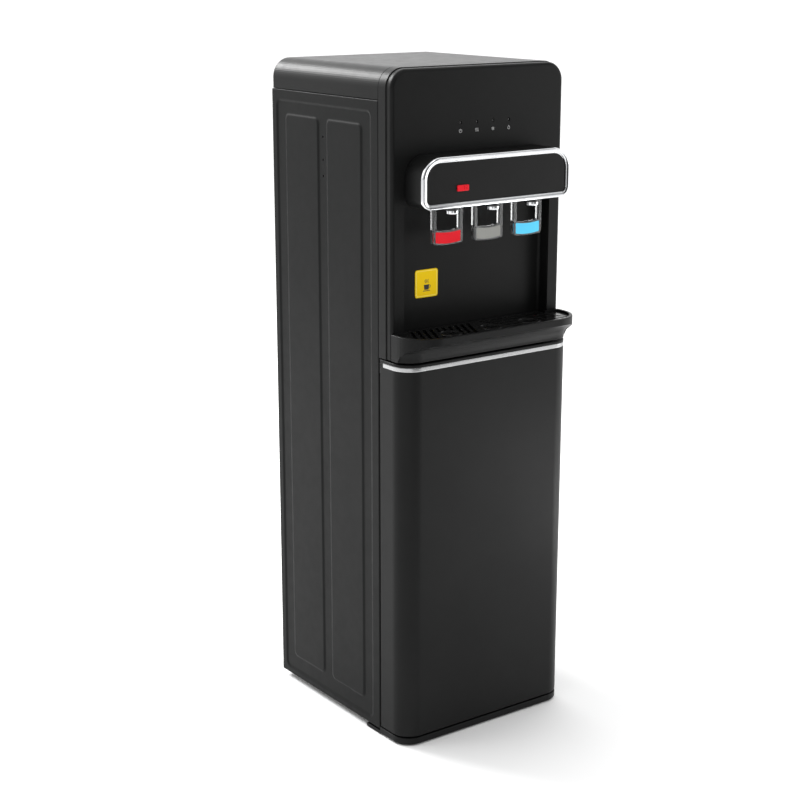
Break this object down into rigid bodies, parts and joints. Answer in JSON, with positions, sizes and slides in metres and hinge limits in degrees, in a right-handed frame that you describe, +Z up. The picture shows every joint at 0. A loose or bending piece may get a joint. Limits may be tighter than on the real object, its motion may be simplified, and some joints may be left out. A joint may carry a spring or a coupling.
{
  "type": "bottom-loading water dispenser",
  "caption": "Floor-standing water dispenser with tap levers under a chrome-ringed head, a drip tray and a tall lower door hiding the bottle space.",
  "frame": {"origin": "on the floor, at the bottom centre of the bounding box", "axes": "+Z up, front faces -Y, +X to the right seen from the front"},
  "size_m": [0.33, 0.392, 1.057],
  "materials": {
    "charcoal_plastic": "fine-grained, semi-matte moulded shell",
    "charcoal_steel": "semi-matte powder coat on pressed sheet",
    "black_plate": "matt black",
    "bright_chrome": "bright chrome plating",
    "silver_strip": "lengthwise brushed silver",
    "zinc_steel": "zinc-plated sheet",
    "stainless": "stainless steel",
    "black_enamel": "black enamel",
    "clear_acrylic": "clear moulded acrylic",
    "red_plastic": "glossy red",
    "grey_plastic": "glossy grey",
    "blue_plastic": "glossy blue",
    "green_plastic": "glossy green",
    "yellow_label": "yellow label with dark pictograms",
    "lamp_clear": "translucent light pipe",
    "board_green": "circuit board",
    "tap_plastic": "dark moulded plastic",
    "pale_plastic": "pale grey moulded plastic",
    "foot_rubber": "black rubber",
    "foam_white": "white insulating foam",
    "heater_mica": "mica band",
    "copper": "copper tube",
    "silicone_hose": "translucent silicone"
  },
  "bodies": {
    "cabinet": {"base_plate": "charcoal_steel", "front_plinth": "charcoal_plastic", "glide_feet": "foot_rubber", "side_panel_left": "charcoal_steel", "side_panel_right": "charcoal_steel", "back_panel": "charcoal_steel", "panel_screws": "zinc_steel", "top_cover": "charcoal_plastic", "front_bezel": "charcoal_plastic", "recess_liner": "charcoal_plastic", "caution_plate": "yellow_label", "shelf_plate": "zinc_steel", "tank_shelf": "zinc_steel", "liner_left": "pale_plastic", "liner_right": "pale_plastic", "liner_back": "pale_plastic", "bottle_floor": "charcoal_plastic", "head_housing": "charcoal_plastic", "head_plate": "black_plate", "head_ring": "bright_chrome", "lamp_board": "board_green", "indicator_lamps": "lamp_clear", "tap_hot": "tap_plastic", "tap_normal": "tap_plastic", "tap_cold": "tap_plastic", "lever_pins": "zinc_steel", "lever_springs": "zinc_steel", "hinge_brackets": "zinc_steel", "probe_hook": "tap_plastic", "pump": "tap_plastic", "cold_tank": "stainless", "evaporator_coil": "copper", "foam_jacket": "foam_white", "hot_tank": "stainless", "band_heater": "heater_mica", "thermostats": "tap_plastic", "compressor": "black_enamel", "condenser": "black_enamel", "tap_hoses": "silicone_hose", "control_box": "pale_plastic", "switch_frames": "tap_plastic", "cord_gland": "foot_rubber", "drain_spigot": "pale_plastic"},
    "door": {"door_skin": "charcoal_plastic", "door_liner": "pale_plastic", "door_strip": "silver_strip", "door_magnets": "foot_rubber"},
    "hot_lever": {"lever_hot": "clear_acrylic", "insert_hot": "red_plastic"},
    "normal_lever": {"lever_normal": "clear_acrylic", "insert_normal": "grey_plastic"},
    "cold_lever": {"lever_cold": "clear_acrylic", "insert_cold": "blue_plastic"},
    "lock": {"lock_slider": "red_plastic"},
    "tray": {"drip_tray": "charcoal_plastic"},
    "grille": {"drip_grille": "black_plate"},
    "probe": {"suction_probe": "stainless"},
    "heat_rocker": {"rocker_heat": "red_plastic"},
    "cool_rocker": {"rocker_cool": "green_plastic"},
    "drain_plug": {"drain_cap": "tap_plastic"}
  },
  "joints": [
    {"name": "door_swing", "type": "hinge", "parent": "cabinet", "child": "door", "pos_m": [0.157, -0.113, 0.3], "axis": [0, 0, 1], "range_deg": [0, 105]},
    {"name": "hot_lever_press", "type": "hinge", "parent": "cabinet", "child": "hot_lever", "pos_m": [-0.077, -0.142, 0.88], "axis": [1, 0, 0], "range_deg": [0, 12], "stiffness_Nm_per_rad": 0.5, "springref_deg": -11.46},
    {"name": "normal_lever_press", "type": "hinge", "parent": "cabinet", "child": "normal_lever", "pos_m": [0, -0.142, 0.88], "axis": [1, 0, 0], "range_deg": [0, 12], "stiffness_Nm_per_rad": 0.5, "springref_deg": -11.46},
    {"name": "cold_lever_press", "type": "hinge", "parent": "cabinet", "child": "cold_lever", "pos_m": [0.077, -0.142, 0.88], "axis": [1, 0, 0], "range_deg": [0, 12], "stiffness_Nm_per_rad": 0.5, "springref_deg": -11.46},
    {"name": "lock_slide", "type": "slide", "parent": "cabinet", "child": "lock", "axis": [1, 0, 0], "range_m": [0, 0.006]},
    {"name": "tray_pull", "type": "slide", "parent": "cabinet", "child": "tray", "axis": [0, -1, 0], "range_m": [0, 0.09]},
    {"name": "grille_lift", "type": "slide", "parent": "tray", "child": "grille", "axis": [0, 0, 1], "range_m": [0, 0.04]},
    {"name": "probe_lift", "type": "slide", "parent": "cabinet", "child": "probe", "axis": [0, 0, 1], "range_m": [0, 0.045]},
    {"name": "heat_rock", "type": "hinge", "parent": "cabinet", "child": "heat_rocker", "pos_m": [0.127, 0.173, 0.945], "axis": [1, 0, 0], "range_deg": [-16, 0]},
    {"name": "cool_rock", "type": "hinge", "parent": "cabinet", "child": "cool_rocker", "pos_m": [0.127, 0.173, 0.905], "axis": [1, 0, 0], "range_deg": [-16, 0]},
    {"name": "cap_pull", "type": "slide", "parent": "cabinet", "child": "drain_plug", "axis": [0, 1, 0], "range_m": [0, 0.02]}
  ]
}
